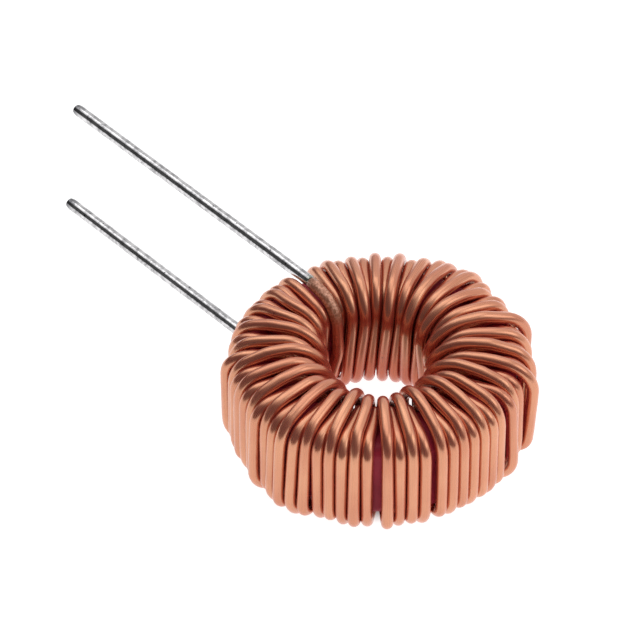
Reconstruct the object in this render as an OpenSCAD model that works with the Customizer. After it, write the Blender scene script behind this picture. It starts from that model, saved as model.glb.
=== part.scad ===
// Toroidal inductor: enamelled copper wire wound by hand on a coated ring core,
// lying flat, with two tinned wire ends leaving on the same side.
// Millimetres. The ring's axis is Z, the underside rests on z = 0 and the leads point to +Y.

/* [Core] */
// outside diameter of the coated ring
core_od = 23.3; // [21.2:0.1:26.5]
// diameter of the hole in the coated ring
core_id = 14.2; // [13.2:0.1:16.4]
// height of the coated ring
core_h = 7.4; // [5:0.1:12]
// rounding of the ring's edges
core_round = 1; // [0.4:0.1:1.2]

/* [Wire] */
// diameter of the enamelled wire
wire_d = 1; // [0.8:0.01:1.12]
// share of the room round the ring that the turns fill
fill = 1; // [0.82:0.01:1]
// room between the wire and the core
core_fit = 0.05; // [0.02:0.01:0.1]
// room between wires that lie side by side
wire_gap = 0.04; // [0.03:0.01:0.08]
// sides of the wire's outline
wire_sides = 7; // [5:1:7]

/* [Hand winding] */
// how far a slack turn stands into the hole
slack_in = 0.9; // [0:0.05:1.1]
// how far a loose turn stands out from the wall
loose_out = 0.65; // [0:0.05:0.8]
// how much of each gap between turns is opened
gap_open = 1; // [0:0.05:1]
// how far a turn wanders sideways on the outer wall, as a share of the pitch
wander = 0.006; // [0:0.002:0.01]

/* [Leads] */
// length of the upper lead outside the winding
upper_len = 28; // [15:0.5:50]
// length of the lower lead outside the winding
lower_len = 27; // [15:0.5:50]
// sideways place of the upper lead
upper_x = 1.2; // [0.8:0.05:1.5]
// sideways place of the lower lead
lower_x = -0.85; // [-1.1:0.05:-0.6]
// how far the tin reaches in over the winding
tin_under = 3.05; // [1.6:0.05:3.5]
// thickness of the tin on the leads
tin_coat = 0.03; // [0.01:0.01:0.05]
// distance from the winding to the full round of each lead
pin_off = 1.4; // [1.3:0.1:4]
// bevel at the cut tips
tip_bevel = 0.12; // [0.05:0.01:0.2]

/* [Hidden] */
$fn = 64;

copper = [0.79, 0.47, 0.35];
crimson = [0.36, 0.05, 0.10];
tin = [0.80, 0.80, 0.80];

// wire centres against the core
wire_r = wire_d / 2;
half = wire_r + core_fit;
beside = wire_d + wire_gap;
hole_r = core_id / 2 - half;
wall_r = core_od / 2 + half;
bend_r = core_round + half;
coil_r = wall_r + wire_r;

// places round the ring, fixed by the room the two leads need
radian = PI / 180;
lead_room = 1.05 * wire_d;
end_room = 1.25 * wire_d;
first_room = beside + 0.02 * wire_d;
last_angle = acos((lower_x - end_room) / wall_r) - 360;
first_angle = acos((upper_x - lead_room) / wall_r);
first_lean = first_angle - acos((lower_x + lead_room) / wall_r);
first_hole = last_angle + 360 - first_room / hole_r / radian;
// shares of the leads' sideways places at which the wire's two ends stand in the hole
end_share = 0.68;
start_share = 0.6;
// sideways turn of the wire's end on the underside and halfway up the hole, in degrees
end_twist = 0.5;
end_lean = 2;
end_top = acos(end_share * upper_x / hole_r);
end_low = last_angle - end_twist;
start_low = acos(start_share * lower_x / hole_r);

// as many turns as lie side by side on the outer wall and in two layers in the hole
wall_share = 0.935;
layer_in = 0.95 * wire_d;
wall_pitch = beside / wall_share / wall_r / radian;
hole_pitch = (wire_d + wire_gap / 2) / 2 / (hole_r - layer_in) / radian;
// the second turn keeps about one and a half pitches from the wire's end
second_room = 1.49;
room = (end_top - last_angle) / max(wall_pitch, hole_pitch) + 2 - second_room;
turns = 2 * floor(fill * room / 2);
pitch = (end_top - last_angle) / (turns - 2 + second_room);
second_angle = end_top - second_room * pitch;

// every other turn nests on its neighbours in the hole and rides over them on both faces
nest_r = hole_r - 0.45 * wire_d;
nest = sqrt(max(0, pow(beside, 2) - pow(nest_r * pitch * radian, 2)));
ride_gap = beside + 0.01 * wire_d;
// narrowest place between two turns, as a share of the pitch
side_share = 0.94;
mid_r = (hole_r + wall_r) / 2;
mid_ride = ride(mid_r);
// a riding turn bends wider at the upper edge, and a turn that lies on the core bends tighter at its foot
upper_wide = 0.4 * wire_d;
foot_tight = 0.65;
edge_ride = ride(wall_r - bend_r - upper_wide);
foot_ride = ride(wall_r - bend_r);
// the wire's end passes under the lower lead, over the first turn and out beside the second
end_gap = beside + 0.04 * wire_d;
end_side = lower_x - (lower_x - end_room) * mid_r / wall_r;
end_nest = max(nest, 0.87 * wire_d);
end_ride = max(mid_ride, sqrt(max(0, pow(end_gap, 2) - pow(end_side, 2))));
end_edge = max(edge_ride, 0.56 * wire_d);
end_r = hole_r - end_nest - 0.17 * wire_d;
end_in = 0.3 * wire_d;
end_beside = min(first_hole - end_top, second_room * pitch) * radian * (hole_r - end_in);
end_rise = sqrt(max(0, pow(beside, 2) - pow(end_beside, 2)));

// heights
core_z = wire_d + core_fit + end_nest;
top_z = core_z + core_h + half;
low_z = core_z - half;
lead_lift = 0.55 * wire_d;
upper_z = top_z + lead_lift;
tin_y = coil_r - tin_under;
pin_y = coil_r + pin_off;

// shares of a turn's slack and looseness by which it also widens, lifts and hangs
slack_low = 0.1;
slack_bend = 0.8;
slack_lift = 0.3;
loose_mid = 0.2;
loose_edge = 0.2;
loose_foot = 0.3;
// shares of slack and looseness that all other turns have
slack_all = 0.05;
loose_all = 0.11;

// rings of the wire at each bend
seen_bends = 3;
under_bends = 2;

// turns that stand slack in the hole: turn number, share of slack_in and sideways sway in turns
slack_turns = [
    [4, 0.6, 0], [8, 1, 0.05], [10, 0.3, 0], [12, 1.1, 0], [14, 0.35, 0.05], [16, 1.3, 0.05],
    [18, 0.4, 0], [20, 1.5, -0.08], [22, 0.5, -0.05], [24, 1.6, 0], [26, 0.45, 0], [28, 1.4, 0.05],
    [30, 0.4, 0], [32, 1.2, 0], [36, 1, -0.2], [38, 0.35, 0], [42, 0.2, 0], [44, 0.9, 0],
    [46, 0.3, 0.05], [48, 1.1, 0.05], [50, 0.3, 0], [52, 1.4, -0.08], [54, 0.5, 0],
    [56, 1.5, 0.08], [58, 0.4, 0], [60, 1.2, 0], [62, 0.2, 0]
];
// turns that stand loose on the outer wall: turn number and shares of loose_out above and at the foot
loose_turns = [
    [6, 0.5, 0.3], [8, 0.7, 0.3], [10, 0.6, 0.3], [11, 0.4, 0.3], [12, 1.3, 0.4], [13, 0.8, 0.4],
    [14, 1.5, 0.5], [15, 0.5, 0.4], [17, 0.6, 0.6], [20, 1.6, 1.2], [22, 0.7, 0.6], [24, 1, 0.9],
    [26, 1.7, 1.1], [29, 0.4, 0.8], [40, 0.1, 0.9], [42, 0.1, 0.7], [46, 0.1, 0.9], [47, 0.3, 1],
    [48, 0.9, 1.5], [49, 0.3, 0.7], [51, 0.5, 0.8], [57, 0.9, 0.8]
];
above = 1;
at_foot = 2;
// gaps on the outer wall: place by turn number and half width as a share of the pitch
gaps = [[30, 0.25], [36.5, 0.12], [40.5, 0.15]];
// number of turns that each gap pushes together on either side
gap_reach = 14;
// steps by which the turns' small differences vary round the ring, in degrees
wander_step = 137.5;
loose_step = 61;

function ride(r) = sqrt(max(0, pow(ride_gap, 2) - pow(r * side_share * pitch * radian, 2)));
function total(v, i = 0) = i == len(v) ? 0 : v[i] + total(v, i + 1);
function upper_layer(j) = (j > 0 && j % 2 == 0) ? 1 : 0;
function named(list, j) = [for (l = list) if (l[0] == j) l];

// slack and sway of one turn in the hole, and how far it stands off the outer wall
function slack(j) =
    let (n = named(slack_turns, j))
    upper_layer(j) * slack_in * (len(n) > 0 ? n[0][1] : slack_all * (1 + sin(loose_step * j)));
function sway(j) =
    let (n = named(slack_turns, j))
    len(n) > 0 ? n[0][2] * slack_in / wire_d : 0;
function loose(j, place) =
    let (n = named(loose_turns, j))
    loose_out * (len(n) > 0 ? n[0][place] : loose_all * (1 + sin(loose_step * j)));

// places of one turn round the ring, in the hole and on the wall
function slot_angle(j) = j == 0 ? first_hole : second_angle - (j - 1) * pitch;
function hole_angle(j) = slot_angle(j) - sway(j) * pitch;
// sideways push of a turn by the gaps near it
function pushed(j) = gap_open * pitch * total([
    for (g = gaps)
        g[1] * (j < g[0] ? 1 : -1) * max(0, 1 - abs(j - g[0]) / gap_reach)
]);
function wander_here(j) = wander * pitch * sin(wander_step * j);
function wall_angle(j) = j == 0 ? first_angle : slot_angle(j) + pushed(j) + wander_here(j);
// only the first turn leans on the outer wall, away from one lead above and the other below
function foot_angle(j) = wall_angle(j) - (j == 0 ? first_lean : 0);
function low_angle(j) = j == 0 ? start_low : j == turns ? end_low : slot_angle(j) + pitch;

// corner points of a line drawn round the outside of an arc that has the half axes given
function bend(c, axes, from, to, n) =
    let (step = (to - from) / n, q = 1 / cos(step / 2))
    [
        for (i = [0:n - 1])
            let (a = from + step * (i + 0.5))
            c + q * [axes[0] * cos(a), axes[1] * sin(a)]
    ];
function at_angle(list, a) = [for (p = list) [p[0] * cos(a), p[0] * sin(a), p[1]]];

// lower and upper bend of the wire where it climbs through the hole
function hole_foot(r, rise, a) =
    let (b = bend_r + rise)
    at_angle(bend([r + b, low_z - rise + b], [b, b], 270, 180, under_bends), a);
function hole_top(r, b, peak, a) = at_angle(bend([r + b, peak - b], [b, b], 180, 90, seen_bends), a);

// over the top, down the outer wall and back under to the next turn; a loose turn makes wider bends
function cross_over(j) =
    let (
        up = upper_layer(j),
        next_up = upper_layer(j + 1),
        top_off = loose(j, above),
        foot_off = loose(j, at_foot),
        wall_a = wall_angle(j),
        foot_a = foot_angle(j),
        next_ride = j + 1 < turns ? next_up * mid_ride : end_ride,
        next_edge = j + 1 < turns ? next_up * (foot_ride + loose_foot * foot_off) : end_edge,
        over_z = top_z + up * (mid_ride + loose_mid * top_off) + slack_lift * slack(j),
        top_b = bend_r + up * upper_wide,
        foot_b = bend_r * (next_up == 1 ? 1 : foot_tight),
        top_axes = [top_b + top_off, top_b + up * (edge_ride + loose_edge * top_off)],
        foot_axes = [foot_b + foot_off, foot_b + next_edge]
    )
    concat(
        at_angle([[mid_r, over_z]], (hole_angle(j) + wall_a) / 2),
        at_angle(bend([wall_r - top_b, top_z - top_b], top_axes, 90, 0, seen_bends), wall_a),
        at_angle(bend([wall_r - foot_b, low_z + foot_b], foot_axes, 0, -90, under_bends), foot_a),
        at_angle([[mid_r, low_z - next_ride]], (foot_a + low_angle(j + 1)) / 2)
    );

// up through the hole, where a slack turn stands in with a wider upper bend, and round the ring
function one_turn(j) =
    let (
        lift = upper_layer(j) * nest,
        r = hole_r - lift,
        s = slack(j)
    )
    concat(
        hole_foot(r - slack_low * s, lift, low_angle(j)),
        hole_top(r - s, bend_r + lift + slack_bend * s, top_z + lift + slack_lift * s, hole_angle(j)),
        cross_over(j)
    );

// the whole wire, from the lower lead round the ring to the upper lead
start_run = 0.5 * wire_d;
end_run = 0.3 * wire_d;
wire_line = concat(
    [[lower_x, tin_y, low_z], [lower_x, tin_y - start_run, low_z]],
    [for (j = [0:turns - 1]) each one_turn(j)],
    hole_foot(end_r, end_nest, end_low),
    at_angle([[end_r, (low_z + top_z) / 2]], end_top + end_lean),
    hole_top(hole_r - end_rise, bend_r + end_rise, top_z + end_rise, end_top),
    [[upper_x, tin_y - end_run, upper_z], [upper_x, tin_y, upper_z]]
);

function unit(v) = v / norm(v);
function heading(i) =
    let (last = len(wire_line) - 1)
    unit(
        (i < last ? unit(wire_line[i + 1] - wire_line[i]) : [0, 0, 0])
        + (i > 0 ? unit(wire_line[i] - wire_line[i - 1]) : [0, 0, 0])
    );

// outline of the wire across its line, one side always facing round the ring
function wire_ring(i) =
    let (
        p = wire_line[i],
        t = heading(i),
        round_ring = unit([-p[1], p[0], 0]),
        side = unit(round_ring - (round_ring * t) * t),
        out = cross(t, side)
    )
    [
        for (k = [0:wire_sides - 1])
            let (turn = 360 * k / wire_sides)
            p + wire_r * (cos(turn) * side + sin(turn) * out)
    ];

module core() {
    color(crimson) rotate_extrude() core_section();
}

module core_section() {
    core_w = (core_od - core_id) / 2;
    translate([core_id / 2 + core_round, core_z])
        square([core_w - 2 * core_round, core_h]);
    translate([core_id / 2, core_z + core_round])
        square([core_w, core_h - 2 * core_round]);
    for (r = [core_id / 2 + core_round, core_od / 2 - core_round])
        for (z = [core_z + core_round, core_z + core_h - core_round])
            translate([r, z]) circle(r = core_round);
}

module winding() {
    rings = len(wire_line);
    n = wire_sides;
    last = (rings - 1) * n;
    color(copper) polyhedron(
        points = [for (i = [0:rings - 1]) each wire_ring(i)],
        faces = concat(
            [[for (k = [0:n - 1]) k]],
            [
                for (i = [0:rings - 2])
                    for (k = [0:n - 1])
                        let (a = i * n + k, b = i * n + (k + 1) % n)
                        each [[a, a + n, b + n], [a, b + n, b]]
            ],
            [[for (k = [n - 1:-1:0]) last + k]]
        ),
        convexity = 20
    );
}

// tinned end of the wire: short swelling, straight round pin and bevelled cut tip
module lead(length) {
    pin_r = wire_r + tin_coat;
    root = pin_y - tin_y;
    pin = coil_r + length - tip_bevel - pin_y;
    rotate([-90, 0, 0]) {
        cylinder(h = root, r1 = wire_r, r2 = pin_r);
        translate([0, 0, root]) cylinder(h = pin, r = pin_r);
        translate([0, 0, root + pin]) cylinder(h = tip_bevel, r1 = pin_r, r2 = pin_r - tip_bevel);
    }
}

module upper_lead() {
    color(tin) translate([upper_x, tin_y, upper_z]) lead(upper_len);
}

module lower_lead() {
    color(tin) translate([lower_x, tin_y, low_z]) lead(lower_len);
}

core();
winding();
upper_lead();
lower_lead();
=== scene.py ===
import math
import bpy
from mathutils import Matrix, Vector, noise


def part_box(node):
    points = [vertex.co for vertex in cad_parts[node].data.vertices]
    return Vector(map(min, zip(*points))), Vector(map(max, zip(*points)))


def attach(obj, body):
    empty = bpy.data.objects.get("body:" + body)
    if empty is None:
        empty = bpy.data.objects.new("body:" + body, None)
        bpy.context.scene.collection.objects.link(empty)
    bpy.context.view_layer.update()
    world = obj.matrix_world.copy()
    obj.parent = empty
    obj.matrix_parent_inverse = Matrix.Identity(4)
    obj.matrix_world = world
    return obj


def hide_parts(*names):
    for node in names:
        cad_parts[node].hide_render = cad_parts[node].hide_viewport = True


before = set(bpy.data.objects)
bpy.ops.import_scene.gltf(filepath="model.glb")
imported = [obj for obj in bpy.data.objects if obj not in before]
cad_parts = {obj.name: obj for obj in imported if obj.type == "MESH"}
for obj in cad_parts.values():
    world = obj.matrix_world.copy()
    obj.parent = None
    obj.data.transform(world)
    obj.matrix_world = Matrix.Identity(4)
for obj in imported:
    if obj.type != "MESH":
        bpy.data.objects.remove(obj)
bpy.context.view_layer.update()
print("frame loaded:", ", ".join(sorted(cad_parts)))

mm = 0.001

# ring of copper wire, all lengths in millimetres
coil = {
    "coreOd": 23.3,
    "coreId": 14.2,
    "coreHeight": 7.4,
    "coreRound": 1.0,
    "wireDia": 1.0,
    "coreFit": 0.05,
    "wireGap": 0.04,
    "turns": 66,
    "upperX": 1.2,
    "lowerX": -0.85,
    "tinUnder": 3.05,
    "leadLift": 0.55,
    "leadRun": (0.5, 0.3),  # straight wire before the lower and the upper lead
    # room for the leads between the first and the last turn
    "leadRoom": 1.05,  # in wire widths
    "endRoom": 1.25,
    "sideRoom": 0.02,
    "secondRoom": 1.49,  # in steps between turns
    "startShare": 0.6,  # of the lead's own distance to the side
    "endShare": 0.68,
    "endPast": 0.5,  # degrees
    # two layers in the hole, and the upper one rides over the lower one
    "nestIn": 0.45,
    "rideExtra": 0.01,
    "tightShare": 0.94,
    "upperWide": 0.4,
    "footTight": 0.65,
    # the end's own way under the ring and up the hole
    "endNest": 0.87,
    "endDeep": 0.17,
    "endClear": 0.04,
    "endEdge": 0.56,
    "endTurn": 2,  # degrees
    "riseIn": 0.3,
    # turns that hang into the hole: how far, and how far to the side
    "slackIn": 0.87,
    "slackRest": 0.05,
    "slackLift": 0.3,
    "slackBend": 0.8,
    "slackLow": 0.1,
    "slackTurns": {
        4: (0.6, 0), 8: (1, 0.05), 10: (0.3, 0), 12: (1.1, 0), 14: (0.35, 0.05), 16: (1.3, 0.05),
        18: (0.4, 0), 20: (1.5, -0.08), 22: (0.5, -0.05), 24: (1.6, 0), 26: (0.45, 0), 28: (1.4, 0.05),
        30: (0.4, 0), 32: (1.2, 0), 36: (1, -0.2), 38: (0.35, 0), 42: (0.2, 0), 44: (0.9, 0),
        46: (0.3, 0.05), 48: (1.1, 0.05), 50: (0.3, 0), 52: (1.4, -0.08), 54: (0.5, 0), 56: (1.5, 0.08),
        58: (0.4, 0), 60: (1.2, 0), 62: (0.2, 0),
    },
    # turns that stand off the wall: how far at the shoulder and at the foot
    "looseOut": 0.65,
    "looseRest": 0.11,
    "looseEdge": 0.2,
    "looseFoot": 0.3,
    "looseTurns": {
        6: (0.5, 0.3), 8: (0.7, 0.3), 10: (0.6, 0.3), 11: (1.6, 0.3), 12: (1.1, 0.4), 13: (1.55, 0.4),
        14: (1.5, 0.5), 15: (1.0, 0.4), 17: (0.6, 0.6), 20: (1.6, 1.2), 22: (0.7, 0.6), 24: (1, 0.9),
        26: (1.7, 1.1), 29: (0.4, 0.8), 40: (0.1, 0.9), 42: (0.1, 0.7), 46: (0.1, 0.9), 47: (0.3, 1.1),
        48: (0.9, 1.3), 49: (0.3, 0.8), 51: (0.5, 0.8), 57: (0.9, 0.8),
    },
    # places where the turns are pushed apart, with the share of a step
    "gaps": [(30, 0.25), (36.5, 0.18), (40.5, 0.27)],
    "gapReach": 14,
    # small differences from turn to turn
    "wander": 0.006,
    "wanderTurn": 137.5,
    "restTurn": 61,
    # tops of the last turns lean towards the upper lead, in degrees
    "endLean": 5.0,
    "leanTurns": 9,
    "firstLift": 0.2,
    # the swept wire
    "sides": 16,
    "bendPoints": 8,
    "fineStep": 0.1,
    "smoothReach": 0.45,
    "ringTurn": 8,
    "ringLength": 1.1,
    "fullness": 0.99,
    "waver": 0.01,
    "waverScale": 0.45,
    "waverEase": 30,
    "seed": 11,
    "wallFrom": (7.8, 9.6),
    "wallSwell": 0.045,
    "wallIn": 0.065,
}


def cosd(a):
    return math.cos(math.radians(a))


def sind(a):
    return math.sin(math.radians(a))


def acosd(x):
    return math.degrees(math.acos(x))


def coilLine(c):
    # corner points of the wire's centre line, from the lower lead round the ring to the upper lead
    d = c["wireDia"]
    half = d / 2 + c["coreFit"]
    beside = d + c["wireGap"]
    holeR = c["coreId"] / 2 - half
    wallR = c["coreOd"] / 2 + half
    bendR = c["coreRound"] + half
    upperWide = c["upperWide"] * d
    coilR = wallR + d / 2
    rad = math.pi / 180
    leadRoom = c["leadRoom"] * d
    lastX = c["lowerX"] - c["endRoom"] * d
    firstAngle = acosd((c["upperX"] - leadRoom) / wallR)
    firstLean = firstAngle - acosd((c["lowerX"] + leadRoom) / wallR)
    lastAngle = acosd(lastX / wallR) - 360
    firstHole = lastAngle + 360 - (beside + c["sideRoom"] * d) / holeR / rad
    endTop = acosd(c["endShare"] * c["upperX"] / holeR)
    endLow = lastAngle - c["endPast"]
    startLow = acosd(c["startShare"] * c["lowerX"] / holeR)
    n = c["turns"]
    pitch = (endTop - lastAngle) / (n - 2 + c["secondRoom"])
    secondAngle = endTop - c["secondRoom"] * pitch
    midR = (holeR + wallR) / 2

    def over(gap, side):  # height at which a wire passes another one that lies a little to its side
        return math.sqrt(max(0, gap ** 2 - side ** 2))

    def ride(r):
        return over(beside + c["rideExtra"] * d, r * c["tightShare"] * pitch * rad)

    nest = over(beside, (holeR - c["nestIn"] * d) * pitch * rad)
    midRide = ride(midR)
    edgeRide = ride(wallR - bendR - upperWide)
    footRide = ride(wallR - bendR)
    endNest = max(nest, c["endNest"] * d)
    endRide = max(midRide, over(beside + c["endClear"] * d, c["lowerX"] - lastX * midR / wallR))
    endEdge = max(edgeRide, c["endEdge"] * d)
    endR = holeR - endNest - c["endDeep"] * d
    endSide = min(firstHole - endTop, c["secondRoom"] * pitch)
    endRise = over(beside, endSide * rad * (holeR - c["riseIn"] * d))
    coreZ = d + c["coreFit"] + endNest
    topZ = coreZ + c["coreHeight"] + half
    lowZ = coreZ - half
    upperZ = topZ + c["leadLift"] * d
    tinY = coilR - c["tinUnder"]

    def layer(j):
        return 1 if j > 0 and j % 2 == 0 else 0

    def slack(j):
        rest = c["slackRest"] + c["slackRest"] * sind(c["restTurn"] * j)
        return layer(j) * c["slackIn"] * c["slackTurns"].get(j, (rest, 0))[0]

    def loose(j):
        rest = c["looseRest"] + c["looseRest"] * sind(c["restTurn"] * j)
        return [c["looseOut"] * share for share in c["looseTurns"].get(j, (rest, rest))]

    def slotAngle(j):
        return firstHole if j == 0 else secondAngle - (j - 1) * pitch

    def holeAngle(j):
        return slotAngle(j) - c["slackTurns"].get(j, (0, 0))[1] * c["slackIn"] / d * pitch

    def wallAngle(j):
        if j == 0:
            return firstAngle
        push = 0
        for g, share in c["gaps"]:
            push += share * (1 if j < g else -1) * max(0, 1 - abs(j - g) / c["gapReach"])
        return slotAngle(j) + pitch * (push + c["wander"] * sind(c["wanderTurn"] * j))

    def lean(j):  # the last turns lean towards the upper lead at their tops
        return c["endLean"] * max(0, 1 - (n - 1 - j) / c["leanTurns"])

    def lowAngle(j):
        return startLow if j == 0 else endLow if j == n else slotAngle(j) + pitch

    def bend(r, z, wide, high, start, end):
        m = c["bendPoints"]
        step = (end - start) / m
        q = 1 / cosd(step / 2)
        turns = [start + step * (i + 0.5) for i in range(m)]
        return [(r + q * wide * cosd(a), z + q * high * sind(a)) for a in turns]

    def at(points, a):
        return [Vector((r * cosd(a), r * sind(a), z)) for r, z in points]

    def holeFoot(r, rise, a):
        b = bendR + rise
        return at(bend(r + b, lowZ - rise + b, b, b, 270, 180), a)

    def holeTop(r, b, peak, a):
        return at(bend(r + b, peak - b, b, b, 180, 90), a)

    line = [Vector((c["lowerX"], tinY - back * d, lowZ)) for back in (0, c["leadRun"][0])]
    for j in range(n):
        up, nextUp, give = layer(j), layer(j + 1), slack(j)
        topOff, footOff = loose(j)
        lift = up * nest
        wall = wallAngle(j)
        foot = wall - (firstLean if j == 0 else 0)
        top = wall - lean(j)
        raised = c["firstLift"] if j == 0 else 0
        nextRide = nextUp * midRide if j + 1 < n else endRide
        nextEdge = nextUp * (footRide + c["looseFoot"] * footOff) if j + 1 < n else endEdge
        topB = bendR + up * upperWide
        topHigh = topB + up * (edgeRide + c["looseEdge"] * topOff) + raised
        footB = bendR * (1 if nextUp else c["footTight"])
        sag = c["slackLift"] * give
        midZ = topZ + up * (midRide + c["looseEdge"] * topOff) + sag + raised
        # up through the hole, over the top, down the wall and back under
        line += holeFoot(holeR - lift - c["slackLow"] * give, lift, lowAngle(j))
        holeB = bendR + lift + c["slackBend"] * give
        line += holeTop(holeR - lift - give, holeB, topZ + lift + sag, holeAngle(j))
        line += at([(midR, midZ)], (holeAngle(j) + top) / 2)
        line += at(bend(wallR - topB, topZ - topB, topB + topOff, topHigh, 90, 0), top)
        line += at(bend(wallR - footB, lowZ + footB, footB + footOff, footB + nextEdge, 0, -90), foot)
        line += at([(midR, lowZ - nextRide)], (foot + lowAngle(j + 1)) / 2)
    # the end passes under the lower lead, up the hole and out to the upper lead
    line += holeFoot(endR, endNest, endLow)
    line += at([(endR, (lowZ + topZ) / 2)], endTop + c["endTurn"])
    line += holeTop(holeR - endRise, bendR + endRise, topZ + endRise, endTop)
    line += [Vector((c["upperX"], tinY - back * d, upperZ)) for back in (c["leadRun"][1], 0)]
    return line


def fineLine(line, step, reach):
    # even steps along the line, then the corners are rounded off by averaging over a short reach
    points = [line[0].copy()]
    for a, b in zip(line[:-1], line[1:]):
        m = max(1, round((b - a).length / step))
        points += [a.lerp(b, (i + 1) / m) for i in range(m)]
    w = max(1, round(reach / step))
    for passNo in range(2):
        total = [Vector((0, 0, 0))]
        for p in points:
            total.append(total[-1] + p)
        last = len(points) - 1
        soft = []
        for i in range(len(points)):
            k = min(w, i, last - i)
            soft.append((total[i + k + 1] - total[i - k]) / (2 * k + 1))
        points = soft
    return points


def ringsAlong(points, turn, length):
    # fewer rings on straight runs, more in the bends
    keep = [0]
    heading = (points[1] - points[0]).normalized()
    run = 0
    for i in range(1, len(points) - 1):
        now = (points[i + 1] - points[i]).normalized()
        run += (points[i] - points[i - 1]).length
        if run > length or now.angle(heading, 0) > math.radians(turn):
            keep.append(i)
            heading, run = now, 0
    return keep + [len(points) - 1]


def meshPiece(name, verts, faces, uvs=None, marks=None):
    mesh = bpy.data.meshes.new(name)
    mesh.from_pydata(verts, [], faces)
    if uvs:
        layer = mesh.uv_layers.new(name="alongWire")
        for poly in mesh.polygons:
            for loopIndex, uv in zip(poly.loop_indices, uvs[poly.index]):
                layer.data[loopIndex].uv = uv
    for key, values in (marks or {}).items():
        mesh.attributes.new(key, "FLOAT", "POINT").data.foreach_set("value", values)
    mesh.polygons.foreach_set("use_smooth", [True] * len(mesh.polygons))
    mesh.update()
    piece = bpy.data.objects.new(name, mesh)
    bpy.context.scene.collection.objects.link(piece)
    return piece


def sweepWire(name, points, radiusAt, sides, marksAt):
    # round wire along a line, with uv in millimetres along and around it
    verts, faces, uvs, runs = [], [], [], []
    marks = {key: [] for key in marksAt}
    along = 0
    for i, p in enumerate(points):
        if i:
            along += (p - points[i - 1]).length
        runs.append(along)
    for i, p in enumerate(points):
        a, b = points[max(0, i - 1)], points[min(len(points) - 1, i + 1)]
        t = (b - a).normalized()
        side = Vector((-p.y, p.x, 0)).normalized()
        side = (side - side.dot(t) * t).normalized()
        out = t.cross(side)
        r = radiusAt(p, runs[i], along)
        for k in range(sides):
            q = 2 * math.pi * k / sides
            verts.append((p + r * (math.cos(q) * side + math.sin(q) * out)) * mm)
        for key in marks:
            marks[key] += [marksAt[key](runs[i], along)] * sides
    for i in range(len(points) - 1):
        for k in range(sides):
            a, b = i * sides + k, i * sides + (k + 1) % sides
            faces.append((a, a + sides, b + sides, b))
            u0, u1, v0, v1 = runs[i], runs[i + 1], k * math.pi / sides, (k + 1) * math.pi / sides
            uvs.append(((u0, v0), (u1, v0), (u1, v1), (u0, v1)))
    for first, order in ((0, range(sides)), ((len(points) - 1) * sides, range(sides - 1, -1, -1))):
        faces.append([first + k for k in order])
        uvs.append([(0, 0)] * sides)
    return meshPiece(name, verts, faces, uvs, marks)


def ramp(x, start, end):
    x = min(1, max(0, (x - start) / (end - start)))
    return x * x * (3 - 2 * x)


# node helpers
def newMaterial(name):
    mat = bpy.data.materials.new(name)
    mat.use_nodes = True
    return mat, mat.node_tree.nodes["Principled BSDF"]


def addNode(mat, kind, **inputs):
    node = mat.node_tree.nodes.new(kind)
    for key, value in inputs.items():
        if hasattr(node, key):
            setattr(node, key, value)
        else:
            node.inputs[key].default_value = value
    return node


def join(mat, source, output, target, socket):
    mat.node_tree.links.new(source.outputs[output], target.inputs[socket])


def mixColour(mat, factor, factorOut, first, second, blend="MIX"):
    # first and second are either a colour or a (node, output) pair
    node = addNode(mat, "ShaderNodeMix", data_type="RGBA", blend_type=blend)
    if factor is None:
        node.inputs["Factor"].default_value = factorOut
    else:
        join(mat, factor, factorOut, node, "Factor")
    for socket, value in ((6, first), (7, second)):
        if isinstance(value[0], bpy.types.Node):
            join(mat, value[0], value[1], node, socket)
        else:
            node.inputs[socket].default_value = (*value, 1)
    return node


def mapRange(mat, source, output, low, high, toLow, toHigh):
    node = addNode(mat, "ShaderNodeMapRange")
    join(mat, source, output, node, "Value")
    for socket, value in (("From Min", low), ("From Max", high), ("To Min", toLow), ("To Max", toHigh)):
        node.inputs[socket].default_value = value
    return node


copperLook = {
    "light": (0.72, 0.362, 0.2),
    "deep": (0.61, 0.265, 0.145),
    "toneScale": (0.16, 0.25, 1),
    "toneRange": (0.35, 0.68),
    "lineScale": (0.12, 9, 1),
    "lineRange": (0.3, 0.7),
    "lineTone": (0.9, 1.06),
    "lineDepth": 0.06,
    # painted shade: tint for the wire low in the hole, with its reach from the axis and its height range
    "hole": (0.74, 0.40, 0.31),
    "holeEdge": (0.0064, 0.0078),
    "holeDepth": (0.0085, 0.0035),
    "speck": (0.10, 0.035, 0.02),
    "speckScale": 520.0,
    "speckSize": (0.035, 0.075),
    "speckFrom": 0.8,
    "burnt": (0.44, 0.185, 0.11),
    "burntPale": (0.82, 0.44, 0.30),
    "burntRough": 0.55,
    "gritScale": 4300.0,
    "gritRange": (0.42, 0.66),
    "roughness": (0.23, 0.33),
    "enamel": 0.8,
    "enamelRough": 0.09,
    "enamelIor": 1.5,
    "bump": 0.6,
    "bumpDepth": 0.00012,
    "scatter": (0.82, 0.13, 0.11),
    "scatterShare": 0.21,
}


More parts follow.
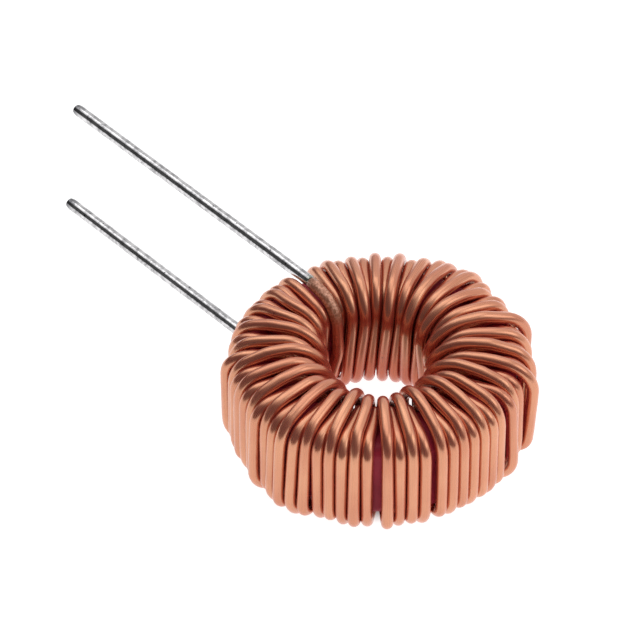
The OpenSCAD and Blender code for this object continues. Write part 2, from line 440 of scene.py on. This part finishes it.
def enamelledCopper(look):
    mat, shader = newMaterial("enamelledCopper")
    uv = addNode(mat, "ShaderNodeUVMap", uv_map="alongWire")
    place = addNode(mat, "ShaderNodeTexCoord")
    # slow change of tone along the wire
    slow = addNode(mat, "ShaderNodeMapping", Scale=look["toneScale"])
    join(mat, uv, "UV", slow, "Vector")
    tone = addNode(mat, "ShaderNodeTexNoise", Scale=1.0, Detail=3.0)
    join(mat, slow, "Vector", tone, "Vector")
    toneRange = mapRange(mat, tone, "Fac", *look["toneRange"], 0, 1)
    body = mixColour(mat, toneRange, "Result", look["light"], look["deep"])
    # drawing lines run lengthwise
    fine = addNode(mat, "ShaderNodeMapping", Scale=look["lineScale"])
    join(mat, uv, "UV", fine, "Vector")
    lines = addNode(mat, "ShaderNodeTexNoise", Scale=1.0, Detail=4.0, Roughness=0.65)
    join(mat, fine, "Vector", lines, "Vector")
    lineTone = mapRange(mat, lines, "Fac", *look["lineRange"], *look["lineTone"])
    lined = mixColour(mat, None, 1.0, (body, 2), (lineTone, "Result"), "MULTIPLY")
    # painted shade: the wire is tinted darker and redder low in the hole, where light goes to and fro
    # between the turns
    flat = addNode(mat, "ShaderNodeVectorMath", operation="MULTIPLY")
    join(mat, place, "Object", flat, 0)
    flat.inputs[1].default_value = (1, 1, 0)
    fromAxis = addNode(mat, "ShaderNodeVectorMath", operation="LENGTH")
    join(mat, flat, "Vector", fromAxis, 0)
    inHole = mapRange(mat, fromAxis, "Value", *look["holeEdge"], 1, 0)
    height = addNode(mat, "ShaderNodeSeparateXYZ")
    join(mat, place, "Object", height, "Vector")
    lowDown = mapRange(mat, height, "Z", *look["holeDepth"], 0, 1)
    holeShadeMask = addNode(mat, "ShaderNodeMath", operation="MULTIPLY")
    join(mat, inHole, "Result", holeShadeMask, 0)
    join(mat, lowDown, "Result", holeShadeMask, 1)
    holeShaded = mixColour(mat, holeShadeMask, "Value", (lined, 2), look["hole"], "MULTIPLY")
    # small dark specks under the enamel
    dots = addNode(mat, "ShaderNodeTexVoronoi", Scale=look["speckScale"])
    join(mat, place, "Object", dots, "Vector")
    near = mapRange(mat, dots, "Distance", *look["speckSize"], 1, 0)
    pick = addNode(mat, "ShaderNodeSeparateColor")
    join(mat, dots, "Color", pick, "Color")
    chosen = addNode(mat, "ShaderNodeMath", operation="GREATER_THAN")
    join(mat, pick, "Red", chosen, 0)
    chosen.inputs[1].default_value = look["speckFrom"]
    speck = addNode(mat, "ShaderNodeMath", operation="MULTIPLY")
    join(mat, near, "Result", speck, 0)
    join(mat, chosen, "Value", speck, 1)
    specked = mixColour(mat, speck, "Value", (holeShaded, 2), look["speck"])
    # burnt stretch beside the tinned end
    burn = addNode(mat, "ShaderNodeAttribute", attribute_name="burn")
    grit = addNode(mat, "ShaderNodeTexNoise", Scale=look["gritScale"], Detail=3.0)
    join(mat, place, "Object", grit, "Vector")
    gritRange = mapRange(mat, grit, "Fac", *look["gritRange"], 0, 1)
    burntTone = mixColour(mat, gritRange, "Result", look["burnt"], look["burntPale"])
    colour = mixColour(mat, burn, "Fac", (specked, 2), (burntTone, 2))
    join(mat, colour, 2, shader, "Base Color")
    shader.inputs["Metallic"].default_value = 1
    rough = mapRange(mat, lines, "Fac", *look["lineRange"], *look["roughness"])
    roughBurn = addNode(mat, "ShaderNodeMix", data_type="FLOAT")
    join(mat, burn, "Fac", roughBurn, "Factor")
    join(mat, rough, "Result", roughBurn, 2)
    roughBurn.inputs[3].default_value = look["burntRough"]
    join(mat, roughBurn, 0, shader, "Roughness")
    shader.inputs["Coat Weight"].default_value = look["enamel"]
    shader.inputs["Coat Roughness"].default_value = look["enamelRough"]
    shader.inputs["Coat IOR"].default_value = look["enamelIor"]
    # faint lines everywhere, coarse grit where it is burnt
    gritDepth = addNode(mat, "ShaderNodeMath", operation="MULTIPLY")
    join(mat, grit, "Fac", gritDepth, 0)
    join(mat, burn, "Fac", gritDepth, 1)
    lineDepth = addNode(mat, "ShaderNodeMath", operation="MULTIPLY_ADD")
    join(mat, lines, "Fac", lineDepth, 0)
    lineDepth.inputs[1].default_value = look["lineDepth"]
    join(mat, gritDepth, "Value", lineDepth, 2)
    bump = addNode(mat, "ShaderNodeBump", Strength=look["bump"], Distance=look["bumpDepth"])
    join(mat, lineDepth, "Value", bump, "Height")
    join(mat, bump, "Normal", shader, "Normal")
    # the enamel's own red, which the burnt stretch has lost
    scatter = addNode(mat, "ShaderNodeBsdfDiffuse")
    scatterTone = mixColour(mat, burn, "Fac", look["scatter"], (burntTone, 2))
    join(mat, scatterTone, 2, scatter, "Color")
    blend = addNode(mat, "ShaderNodeMixShader", Fac=look["scatterShare"])
    join(mat, shader, 0, blend, 1)
    join(mat, scatter, 0, blend, 2)
    join(mat, blend, 0, mat.node_tree.nodes["Material Output"], "Surface")
    return mat


tinLook = {
    "bright": (0.72, 0.71, 0.72),
    "dull": (0.34, 0.335, 0.345),
    "frostScale": 1500.0,
    "frostRange": (0.42, 0.62),
    "pit": (0.05, 0.05, 0.055),
    "pitScale": 3300.0,
    "pitRange": (0.66, 0.72),
    "flux": (0.20, 0.21, 0.15),
    "cut": (0.16, 0.16, 0.17),
    "roughFrom": (0.35, 0.65),
    "roughness": (0.07, 0.2),
    "bump": 0.14,
    "bumpDepth": 0.00008,
}


def solderTin(look):
    mat, shader = newMaterial("solderTin")
    place = addNode(mat, "ShaderNodeTexCoord")
    frost = addNode(mat, "ShaderNodeTexNoise", Scale=look["frostScale"], Detail=5.0, Roughness=0.7)
    join(mat, place, "Object", frost, "Vector")
    frostRange = mapRange(mat, frost, "Fac", *look["frostRange"], 0, 1)
    body = mixColour(mat, frostRange, "Result", look["bright"], look["dull"])
    # black pits where the solder did not wet
    pits = addNode(mat, "ShaderNodeTexNoise", Scale=look["pitScale"], Detail=2.0)
    join(mat, place, "Object", pits, "Vector")
    pitRange = mapRange(mat, pits, "Fac", *look["pitRange"], 0, 1)
    pitted = mixColour(mat, pitRange, "Result", (body, 2), look["pit"])
    # flux at the collar, and a dull cut tip
    flux = addNode(mat, "ShaderNodeAttribute", attribute_name="flux")
    fluxed = mixColour(mat, flux, "Fac", (pitted, 2), look["flux"])
    tip = addNode(mat, "ShaderNodeAttribute", attribute_name="tip")
    colour = mixColour(mat, tip, "Fac", (fluxed, 2), look["cut"])
    join(mat, colour, 2, shader, "Base Color")
    shader.inputs["Metallic"].default_value = 1
    rough = mapRange(mat, frost, "Fac", *look["roughFrom"], *look["roughness"])
    join(mat, rough, "Result", shader, "Roughness")
    bump = addNode(mat, "ShaderNodeBump", Strength=look["bump"], Distance=look["bumpDepth"])
    join(mat, frost, "Fac", bump, "Height")
    join(mat, bump, "Normal", shader, "Normal")
    return mat


coatLook = {
    "red": (0.58, 0.045, 0.085),
    "deep": (0.44, 0.03, 0.06),
    "cloudScale": 420.0,
    "cloudRange": (0.35, 0.65),
    "roughness": 0.45,
    "gloss": 0.15,
    "peelScale": 900.0,
    "bump": 0.25,
    "bumpDepth": 0.0001,
}


def redCoating(look):
    mat, shader = newMaterial("redCoating")
    place = addNode(mat, "ShaderNodeTexCoord")
    cloud = addNode(mat, "ShaderNodeTexNoise", Scale=look["cloudScale"], Detail=3.0)
    join(mat, place, "Object", cloud, "Vector")
    cloudRange = mapRange(mat, cloud, "Fac", *look["cloudRange"], 0, 1)
    colour = mixColour(mat, cloudRange, "Result", look["red"], look["deep"])
    join(mat, colour, 2, shader, "Base Color")
    shader.inputs["Roughness"].default_value = look["roughness"]
    shader.inputs["Specular IOR Level"].default_value = look["gloss"]
    # faint orange peel
    peel = addNode(mat, "ShaderNodeTexNoise", Scale=look["peelScale"], Detail=2.0)
    join(mat, place, "Object", peel, "Vector")
    bump = addNode(mat, "ShaderNodeBump", Strength=look["bump"], Distance=look["bumpDepth"])
    join(mat, peel, "Fac", bump, "Height")
    join(mat, bump, "Normal", shader, "Normal")
    return mat


def dress(piece, mat):
    piece.data.materials.clear()
    piece.data.materials.append(mat)
    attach(piece, "root")


# the winding, one smooth wire
linePoints = fineLine(coilLine(coil), coil["fineStep"], coil["smoothReach"])
lastPoint = len(linePoints) - 1
noise.seed_set(coil["seed"])
for i, p in enumerate(linePoints):
    ease = min(1, i / coil["waverEase"], (lastPoint - i) / coil["waverEase"])
    linePoints[i] = p + noise.noise_vector(p * coil["waverScale"]) * coil["waver"] * ease
ringPoints = [linePoints[i] for i in ringsAlong(linePoints, coil["ringTurn"], coil["ringLength"])]

# burnt stretch beside the upper lead, measured back from the wire's end
burnt = {"start": 5.0, "full": 3.8, "swell": 0.1, "aside": 0.05, "asideFrom": 0.6}


def burnAt(run, total):
    return ramp(total - run, burnt["start"], burnt["full"])


def onWall(p):
    return ramp(math.hypot(p.x, p.y), *coil["wallFrom"])


def wireRadius(p, run, total):
    fuller = coil["wallSwell"] * onWall(p) + burnt["swell"] * burnAt(run, total)
    return coil["wireDia"] / 2 * (coil["fullness"] + fuller)


# the fuller wire on the wall grows towards the core, so the ring stays as wide as it is
ringPoints = [p - Vector((p.x, p.y, 0)).normalized() * coil["wallIn"] * onWall(p) for p in ringPoints]
# the swollen end stays clear of the turn on its right
toEnd = 0
for i in range(len(ringPoints) - 2, 0, -1):
    toEnd += (ringPoints[i + 1] - ringPoints[i]).length
    ringPoints[i].x -= burnt["aside"] * burnAt(0, toEnd) * ramp(toEnd, 0, burnt["asideFrom"])
copperWire = sweepWire("copperWire", ringPoints, wireRadius, coil["sides"], {"burn": burnAt})
dress(copperWire, enamelledCopper(copperLook))
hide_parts("winding")
print("winding:", len(ringPoints), "rings,", len(copperWire.data.polygons), "faces")

# the tinned ends, lengths in millimetres
lead = {
    "sides": 24,
    "step": 0.25,
    "thinStart": 0.945,
    "growth": 0.055,
    "fullAt": 3,
    "rough": 0.010,
    "roughScale": 1.7,
    "roughAlong": 0.55,
    "collar": (0.05, 0.5),
    "cut": 0.12,
    "tipIn": 0.2,
    "dimTip": 1.4,
}


def tinnedLead(name, node, tin):
    low, high = [Vector(corner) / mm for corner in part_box(node)]
    centre = (low + high) / 2
    radius = (high.x - low.x) / 2
    length = high.y - low.y
    rings = round(length / lead["step"])
    sides = lead["sides"]
    verts, faces, flux, cutEnd = [], [], [], []
    for i in range(rings + 1):
        y = length * i / rings
        swell = lead["thinStart"] + lead["growth"] * ramp(y, 0, lead["fullAt"])
        tip = 1 - lead["tipIn"] * ramp(y, length - lead["cut"] - lead["step"], length)
        for k in range(sides):
            q = 2 * math.pi * k / sides
            spot = Vector((math.cos(q), y * lead["roughAlong"] + low.y, math.sin(q)))
            r = radius * swell * tip * (1 - lead["rough"] * (1 + noise.noise(spot * lead["roughScale"])))
            x, z = centre.x + r * math.cos(q), centre.z + r * math.sin(q)
            verts.append(Vector((x, low.y + y, z)) * mm)
            flux.append(1 - ramp(y, *lead["collar"]))
            cutEnd.append(ramp(y, length - lead["dimTip"], length))
    for i in range(rings):
        for k in range(sides):
            a, b = i * sides + k, i * sides + (k + 1) % sides
            faces.append((b, b + sides, a + sides, a))
    faces.append(list(range(sides)))
    faces.append([rings * sides + k for k in range(sides - 1, -1, -1)])
    piece = meshPiece(name, verts, faces, None, {"flux": flux, "tip": cutEnd})
    dress(piece, tin)
    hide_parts(node)


tin = solderTin(tinLook)
tinnedLead("upperTin", "upper_lead", tin)
tinnedLead("lowerTin", "lower_lead", tin)
print("leads done")

# the core keeps its own shape and gets its coating
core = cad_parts["core"]
core.data.materials.clear()
core.data.materials.append(redCoating(coatLook))

# camera as in the photograph: it looks 42 degrees to the right of the leads and 42 degrees down
shot = {
    "turn": -42.0,
    "up": 42.0,
    "away": 0.4,
    "aim": (0.0, 0.0, 0.000875),
    "spot": (377.4, 429.1),  # where the aim lies in the picture
    "pixels": 11.8,  # to a millimetre
    "side": 640,
    "sensor": 36,
}
turn, tilt = math.radians(shot["turn"]), math.radians(shot["up"])
right = Vector((math.cos(turn), math.sin(turn), 0))
away = Vector((-math.sin(turn), math.cos(turn), 0))
back = -away * math.cos(tilt) + Vector((0, 0, math.sin(tilt)))
upward = away * math.sin(tilt) + Vector((0, 0, math.cos(tilt)))
half = shot["side"] / 2
shift = right * (half - shot["spot"][0]) + upward * (shot["spot"][1] - half)
aim = Vector(shot["aim"]) + shift / shot["pixels"] * mm
camData = bpy.data.cameras.new("studioCamera")
camData.sensor_width = shot["sensor"]
camData.lens = shot["sensor"] * shot["pixels"] * shot["away"] / mm / shot["side"]
camData.clip_start = 0.01
camData.clip_end = 20
camera = bpy.data.objects.new("studioCamera", camData)
camera.location = aim + back * shot["away"]
camera.rotation_euler = (-back).to_track_quat("-Z", "Y").to_euler()
bpy.context.scene.collection.objects.link(camera)
bpy.context.scene.camera = camera

# white table
table = {
    "size": 0.36,
    "under": 0.00005,
    "white": (0.35, 0.35, 0.35),
    "roughness": 0.75,
    "glow": 0.97,
    # painted shadow in the table's glow: its strength, centre and soft edge
    "shade": 0.2,
    "shadeAt": -0.0042,
    "shadeEdge": (0.0048, 0.0062),
    "grainScale": 60.0,
    "grainRange": (0.3, 0.7),
    "grainTone": (0.985, 1.0),
}
bpy.ops.mesh.primitive_plane_add(size=table["size"], location=(0, 0, -table["under"]))
floor = bpy.context.object
floor.name = "whiteTable"
floorMat, floorShader = newMaterial("whitePaper")
floorShader.inputs["Roughness"].default_value = table["roughness"]
floorShader.inputs["Emission Color"].default_value = (1, 1, 1, 1)
# painted shadow: the table's glow drops in a disc under the front half of the ring's hole, where the
# ring keeps the light off
floorPlace = addNode(floorMat, "ShaderNodeTexCoord")
reach = addNode(floorMat, "ShaderNodeVectorMath", operation="DISTANCE")
join(floorMat, floorPlace, "Object", reach, 0)
reach.inputs[1].default_value = tuple(away * table["shadeAt"])
glow = mapRange(floorMat, reach, "Value", *table["shadeEdge"], table["shade"], table["glow"])
join(floorMat, glow, "Result", floorShader, "Emission Strength")
paper = addNode(floorMat, "ShaderNodeTexNoise", Scale=table["grainScale"], Detail=4.0)
paperTone = mapRange(floorMat, paper, "Fac", *table["grainRange"], *table["grainTone"])
paperMix = mixColour(floorMat, None, 1.0, table["white"], (paperTone, "Result"), "MULTIPLY")
join(floorMat, paperMix, 2, floorShader, "Base Color")
floor.data.materials.append(floorMat)

# soft boxes: direction in degrees from the camera's side, height in degrees, distance, size, watts
softBoxes = {
    "leftBox": {"turn": -135, "up": 44, "away": 0.75, "size": 0.42, "power": 0.42},
    "rightBox": {"turn": 75, "up": 42, "away": 0.75, "size": 0.42, "power": 0.6},
    "topBox": {"turn": 180, "up": 74, "away": 0.8, "size": 0.7, "power": 1.15},
}
for name, box in softBoxes.items():
    a, e = math.radians(shot["turn"] + box["turn"]), math.radians(box["up"])
    spot = Vector((math.sin(a) * math.cos(e), -math.cos(a) * math.cos(e), math.sin(e))) * box["away"]
    lamp = bpy.data.lights.new(name, "AREA")
    lamp.shape = "SQUARE"
    lamp.size = box["size"]
    lamp.energy = box["power"]
    lampObject = bpy.data.objects.new(name, lamp)
    lampObject.location = spot
    lampObject.rotation_euler = (-spot).to_track_quat("-Z", "Y").to_euler()
    bpy.context.scene.collection.objects.link(lampObject)

# room: pale behind the object and on its right, dark on the camera's side and on the left
room = {
    "front": 0.09,
    "behind": 0.82,
    "full": 0.75,
    "away": 0.55,
    "right": 0.6,
    "up": 0.6,
    "strength": 1.0,
}
world = bpy.data.worlds.new("studioRoom")
bpy.context.scene.world = world
world.use_nodes = True
sky = world.node_tree.nodes["Background"]
direction = addNode(world, "ShaderNodeTexCoord")
facing = addNode(world, "ShaderNodeVectorMath", operation="DOT_PRODUCT")
join(world, direction, "Generated", facing, 0)
paleSide = away * room["away"] + right * room["right"] + Vector((0, 0, room["up"]))
facing.inputs[1].default_value = tuple(paleSide)
fade = mapRange(world, facing, "Value", 0, room["full"], room["front"], room["behind"])
fade.interpolation_type = "SMOOTHSTEP"
join(world, fade, "Result", sky, "Color")
sky.inputs["Strength"].default_value = room["strength"]

bpy.context.scene.view_settings.view_transform = "Standard"
# light goes to and fro between the turns many times
bpy.context.scene.cycles.max_bounces = 16
bpy.context.scene.cycles.glossy_bounces = 12
print("camera, lights and table set")
